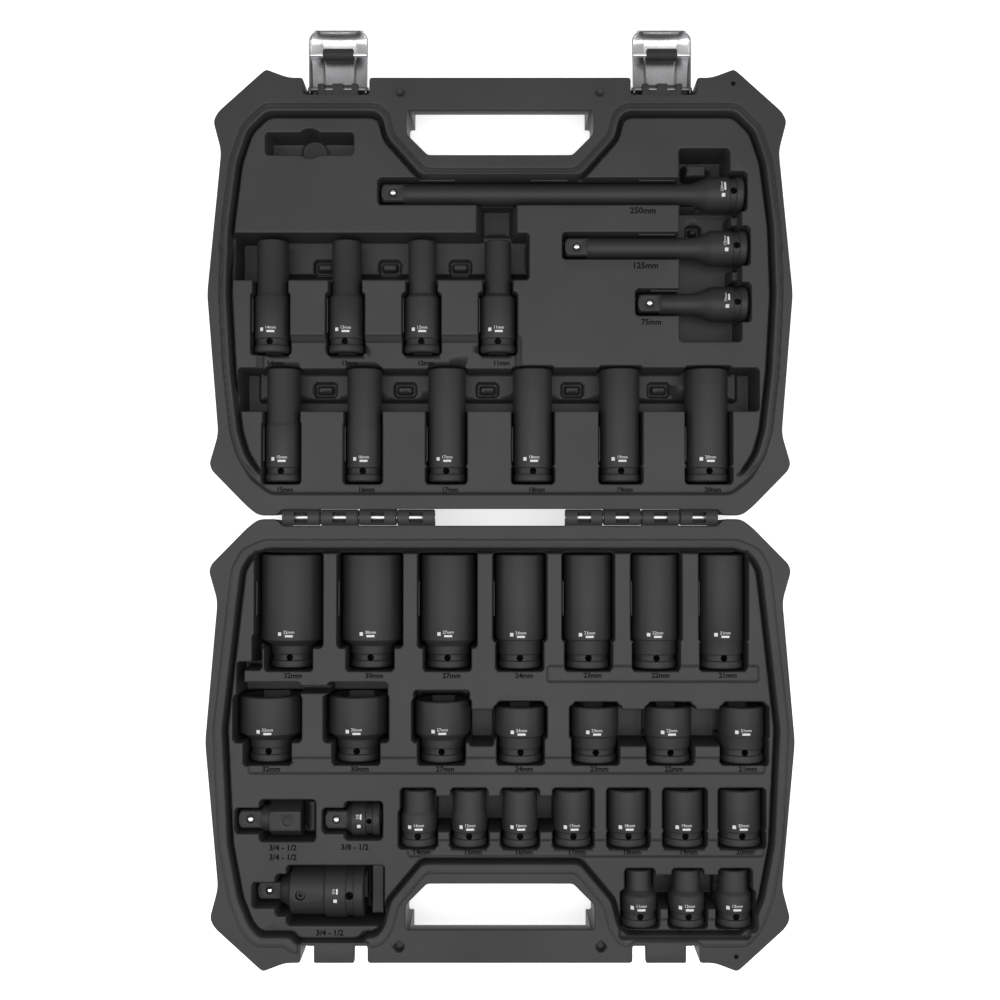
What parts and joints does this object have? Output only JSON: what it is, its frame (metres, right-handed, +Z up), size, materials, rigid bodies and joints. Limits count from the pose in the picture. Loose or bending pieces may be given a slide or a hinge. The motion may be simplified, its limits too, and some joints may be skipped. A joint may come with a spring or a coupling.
{
  "type": "socket wrench set in case",
  "caption": "Half-inch drive impact socket set with deep and shallow sockets, extension bars and adapters, lying in an open hinged plastic carry case with draw latches.",
  "frame": {"origin": "centre of the bounding box at the surface the open case lies on", "axes": "+X along the hinge to the right, +Y from the base half to the lid half, +Z up out of the open case"},
  "size_m": [0.4016, 0.6468, 0.0537],
  "materials": {
    "case_plastic": "fine grained satin",
    "tool_steel": "matte black phosphate",
    "bright_steel": "bright drawn",
    "ball_steel": "polished",
    "latch_chrome": "bright stamped",
    "roller_rubber": "matte"
  },
  "bodies": {
    "base": {"base_shell": "case_plastic", "hinge_pin_left": "bright_steel", "hinge_pin_right": "bright_steel"},
    "lid": {"lid_shell": "case_plastic"},
    "latch_left": {"latch_cover_left": "latch_chrome", "latch_pin_left": "bright_steel", "roller_wire_left": "bright_steel"},
    "roller_left": {"roller_left": "roller_rubber"},
    "latch_right": {"latch_cover_right": "latch_chrome", "latch_pin_right": "bright_steel", "roller_wire_right": "bright_steel"},
    "roller_right": {"roller_right": "roller_rubber"},
    "deep_socket_11": {"deep_socket_11": "tool_steel"},
    "deep_socket_12": {"deep_socket_12": "tool_steel"},
    "deep_socket_13": {"deep_socket_13": "tool_steel"},
    "deep_socket_14": {"deep_socket_14": "tool_steel"},
    "deep_socket_15": {"deep_socket_15": "tool_steel"},
    "deep_socket_16": {"deep_socket_16": "tool_steel"},
    "deep_socket_17": {"deep_socket_17": "tool_steel"},
    "deep_socket_18": {"deep_socket_18": "tool_steel"},
    "deep_socket_19": {"deep_socket_19": "tool_steel"},
    "deep_socket_20": {"deep_socket_20": "tool_steel"},
    "extension_250": {"extension_250": "tool_steel"},
    "extension_125": {"extension_125": "tool_steel"},
    "extension_75": {"extension_75": "tool_steel"},
    "deep_socket_21": {"deep_socket_21": "tool_steel"},
    "deep_socket_22": {"deep_socket_22": "tool_steel"},
    "deep_socket_23": {"deep_socket_23": "tool_steel"},
    "deep_socket_24": {"deep_socket_24": "tool_steel"},
    "deep_socket_27": {"deep_socket_27": "tool_steel"},
    "deep_socket_30": {"deep_socket_30": "tool_steel"},
    "deep_socket_32": {"deep_socket_32": "tool_steel"},
    "shallow_socket_11": {"shallow_socket_11": "tool_steel"},
    "shallow_socket_12": {"shallow_socket_12": "tool_steel"},
    "shallow_socket_13": {"shallow_socket_13": "tool_steel"},
    "shallow_socket_14": {"shallow_socket_14": "tool_steel"},
    "shallow_socket_15": {"shallow_socket_15": "tool_steel"},
    "shallow_socket_16": {"shallow_socket_16": "tool_steel"},
    "shallow_socket_17": {"shallow_socket_17": "tool_steel"},
    "shallow_socket_18": {"shallow_socket_18": "tool_steel"},
    "shallow_socket_19": {"shallow_socket_19": "tool_steel"},
    "shallow_socket_20": {"shallow_socket_20": "tool_steel"},
    "shallow_socket_21": {"shallow_socket_21": "tool_steel"},
    "shallow_socket_22": {"shallow_socket_22": "tool_steel"},
    "shallow_socket_23": {"shallow_socket_23": "tool_steel"},
    "shallow_socket_24": {"shallow_socket_24": "tool_steel"},
    "shallow_socket_27": {"shallow_socket_27": "tool_steel"},
    "shallow_socket_30": {"shallow_socket_30": "tool_steel"},
    "shallow_socket_32": {"shallow_socket_32": "tool_steel"},
    "spare_tang": {"spare_tang": "tool_steel"},
    "adapter_three_eighths": {"adapter_three_eighths": "tool_steel"},
    "adapter_three_quarters": {"adapter_three_quarters": "tool_steel", "set_screw": "tool_steel"},
    "ball_extension_250": {"ball_extension_250": "ball_steel"},
    "ball_extension_125": {"ball_extension_125": "ball_steel"},
    "ball_extension_75": {"ball_extension_75": "ball_steel"},
    "ball_spare_tang": {"ball_spare_tang": "ball_steel"},
    "ball_adapter_three_eighths": {"ball_adapter_three_eighths": "ball_steel"},
    "ball_adapter_three_quarters": {"ball_adapter_three_quarters": "ball_steel"}
  },
  "joints": [
    {"name": "lid_hinge", "type": "hinge", "parent": "base", "child": "lid", "pos_m": [0, -0.0156, 0.0482], "axis": [-1, 0, 0], "range_deg": [-180, 0]},
    {"name": "latch_left_hinge", "type": "hinge", "parent": "lid", "child": "latch_left", "pos_m": [-0.1125, 0.2824, 0.036], "axis": [-1, 0, 0], "range_deg": [-90, 0]},
    {"name": "roller_left_spin", "type": "hinge", "parent": "latch_left", "child": "roller_left", "pos_m": [-0.1125, 0.3064, 0.036], "axis": [1, 0, 0], "continuous": true},
    {"name": "latch_right_hinge", "type": "hinge", "parent": "lid", "child": "latch_right", "pos_m": [0.1125, 0.2824, 0.036], "axis": [-1, 0, 0], "range_deg": [-90, 0]},
    {"name": "roller_right_spin", "type": "hinge", "parent": "latch_right", "child": "roller_right", "pos_m": [0.1125, 0.3064, 0.036], "axis": [1, 0, 0], "continuous": true},
    {"name": "lift_deep_socket_11", "type": "slide", "parent": "lid", "child": "deep_socket_11", "axis": [0, 0, 1], "range_m": [0, 0.1]},
    {"name": "lift_deep_socket_12", "type": "slide", "parent": "lid", "child": "deep_socket_12", "axis": [0, 0, 1], "range_m": [0, 0.1]},
    {"name": "lift_deep_socket_13", "type": "slide", "parent": "lid", "child": "deep_socket_13", "axis": [0, 0, 1], "range_m": [0, 0.1]},
    {"name": "lift_deep_socket_14", "type": "slide", "parent": "lid", "child": "deep_socket_14", "axis": [0, 0, 1], "range_m": [0, 0.1]},
    {"name": "lift_deep_socket_15", "type": "slide", "parent": "lid", "child": "deep_socket_15", "axis": [0, 0, 1], "range_m": [0, 0.1]},
    {"name": "lift_deep_socket_16", "type": "slide", "parent": "lid", "child": "deep_socket_16", "axis": [0, 0, 1], "range_m": [0, 0.1]},
    {"name": "lift_deep_socket_17", "type": "slide", "parent": "lid", "child": "deep_socket_17", "axis": [0, 0, 1], "range_m": [0, 0.1]},
    {"name": "lift_deep_socket_18", "type": "slide", "parent": "lid", "child": "deep_socket_18", "axis": [0, 0, 1], "range_m": [0, 0.1]},
    {"name": "lift_deep_socket_19", "type": "slide", "parent": "lid", "child": "deep_socket_19", "axis": [0, 0, 1], "range_m": [0, 0.1]},
    {"name": "lift_deep_socket_20", "type": "slide", "parent": "lid", "child": "deep_socket_20", "axis": [0, 0, 1], "range_m": [0, 0.1]},
    {"name": "lift_extension_250", "type": "slide", "parent": "lid", "child": "extension_250", "axis": [0, 0, 1], "range_m": [0, 0.1]},
    {"name": "lift_extension_125", "type": "slide", "parent": "lid", "child": "extension_125", "axis": [0, 0, 1], "range_m": [0, 0.1]},
    {"name": "lift_extension_75", "type": "slide", "parent": "lid", "child": "extension_75", "axis": [0, 0, 1], "range_m": [0, 0.1]},
    {"name": "lift_deep_socket_21", "type": "slide", "parent": "base", "child": "deep_socket_21", "axis": [0, 0, 1], "range_m": [0, 0.1]},
    {"name": "lift_deep_socket_22", "type": "slide", "parent": "base", "child": "deep_socket_22", "axis": [0, 0, 1], "range_m": [0, 0.1]},
    {"name": "lift_deep_socket_23", "type": "slide", "parent": "base", "child": "deep_socket_23", "axis": [0, 0, 1], "range_m": [0, 0.1]},
    {"name": "lift_deep_socket_24", "type": "slide", "parent": "base", "child": "deep_socket_24", "axis": [0, 0, 1], "range_m": [0, 0.1]},
    {"name": "lift_deep_socket_27", "type": "slide", "parent": "base", "child": "deep_socket_27", "axis": [0, 0, 1], "range_m": [0, 0.1]},
    {"name": "lift_deep_socket_30", "type": "slide", "parent": "base", "child": "deep_socket_30", "axis": [0, 0, 1], "range_m": [0, 0.1]},
    {"name": "lift_deep_socket_32", "type": "slide", "parent": "base", "child": "deep_socket_32", "axis": [0, 0, 1], "range_m": [0, 0.1]},
    {"name": "lift_shallow_socket_11", "type": "slide", "parent": "base", "child": "shallow_socket_11", "axis": [0, 0, 1], "range_m": [0, 0.1]},
    {"name": "lift_shallow_socket_12", "type": "slide", "parent": "base", "child": "shallow_socket_12", "axis": [0, 0, 1], "range_m": [0, 0.1]},
    {"name": "lift_shallow_socket_13", "type": "slide", "parent": "base", "child": "shallow_socket_13", "axis": [0, 0, 1], "range_m": [0, 0.1]},
    {"name": "lift_shallow_socket_14", "type": "slide", "parent": "base", "child": "shallow_socket_14", "axis": [0, 0, 1], "range_m": [0, 0.1]},
    {"name": "lift_shallow_socket_15", "type": "slide", "parent": "base", "child": "shallow_socket_15", "axis": [0, 0, 1], "range_m": [0, 0.1]},
    {"name": "lift_shallow_socket_16", "type": "slide", "parent": "base", "child": "shallow_socket_16", "axis": [0, 0, 1], "range_m": [0, 0.1]},
    {"name": "lift_shallow_socket_17", "type": "slide", "parent": "base", "child": "shallow_socket_17", "axis": [0, 0, 1], "range_m": [0, 0.1]},
    {"name": "lift_shallow_socket_18", "type": "slide", "parent": "base", "child": "shallow_socket_18", "axis": [0, 0, 1], "range_m": [0, 0.1]},
    {"name": "lift_shallow_socket_19", "type": "slide", "parent": "base", "child": "shallow_socket_19", "axis": [0, 0, 1], "range_m": [0, 0.1]},
    {"name": "lift_shallow_socket_20", "type": "slide", "parent": "base", "child": "shallow_socket_20", "axis": [0, 0, 1], "range_m": [0, 0.1]},
    {"name": "lift_shallow_socket_21", "type": "slide", "parent": "base", "child": "shallow_socket_21", "axis": [0, 0, 1], "range_m": [0, 0.1]},
    {"name": "lift_shallow_socket_22", "type": "slide", "parent": "base", "child": "shallow_socket_22", "axis": [0, 0, 1], "range_m": [0, 0.1]},
    {"name": "lift_shallow_socket_23", "type": "slide", "parent": "base", "child": "shallow_socket_23", "axis": [0, 0, 1], "range_m": [0, 0.1]},
    {"name": "lift_shallow_socket_24", "type": "slide", "parent": "base", "child": "shallow_socket_24", "axis": [0, 0, 1], "range_m": [0, 0.1]},
    {"name": "lift_shallow_socket_27", "type": "slide", "parent": "base", "child": "shallow_socket_27", "axis": [0, 0, 1], "range_m": [0, 0.1]},
    {"name": "lift_shallow_socket_30", "type": "slide", "parent": "base", "child": "shallow_socket_30", "axis": [0, 0, 1], "range_m": [0, 0.1]},
    {"name": "lift_shallow_socket_32", "type": "slide", "parent": "base", "child": "shallow_socket_32", "axis": [0, 0, 1], "range_m": [0, 0.1]},
    {"name": "lift_spare_tang", "type": "slide", "parent": "base", "child": "spare_tang", "axis": [0, 0, 1], "range_m": [0, 0.1]},
    {"name": "lift_adapter_three_eighths", "type": "slide", "parent": "base", "child": "adapter_three_eighths", "axis": [0, 0, 1], "range_m": [0, 0.1]},
    {"name": "lift_adapter_three_quarters", "type": "slide", "parent": "base", "child": "adapter_three_quarters", "axis": [0, 0, 1], "range_m": [0, 0.1]},
    {"name": "press_ball_extension_250", "type": "slide", "parent": "extension_250", "child": "ball_extension_250", "axis": [0, 0, 1], "range_m": [-0.0012, 0], "stiffness_N_per_m": 1500, "springref_m": 0.0008},
    {"name": "press_ball_extension_125", "type": "slide", "parent": "extension_125", "child": "ball_extension_125", "axis": [0, 0, 1], "range_m": [-0.0012, 0], "stiffness_N_per_m": 1500, "springref_m": 0.0008},
    {"name": "press_ball_extension_75", "type": "slide", "parent": "extension_75", "child": "ball_extension_75", "axis": [0, 0, 1], "range_m": [-0.0012, 0], "stiffness_N_per_m": 1500, "springref_m": 0.0008},
    {"name": "press_ball_spare_tang", "type": "slide", "parent": "spare_tang", "child": "ball_spare_tang", "axis": [0, 0, 1], "range_m": [-0.0012, 0], "stiffness_N_per_m": 1500, "springref_m": 0.0008},
    {"name": "press_ball_adapter_three_eighths", "type": "slide", "parent": "adapter_three_eighths", "child": "ball_adapter_three_eighths", "axis": [0, 0, 1], "range_m": [-0.0012, 0], "stiffness_N_per_m": 1500, "springref_m": 0.0008},
    {"name": "press_ball_adapter_three_quarters", "type": "slide", "parent": "adapter_three_quarters", "child": "ball_adapter_three_quarters", "axis": [0, 0, 1], "range_m": [-0.0012, 0], "stiffness_N_per_m": 1500, "springref_m": 0.0008}
  ]
}
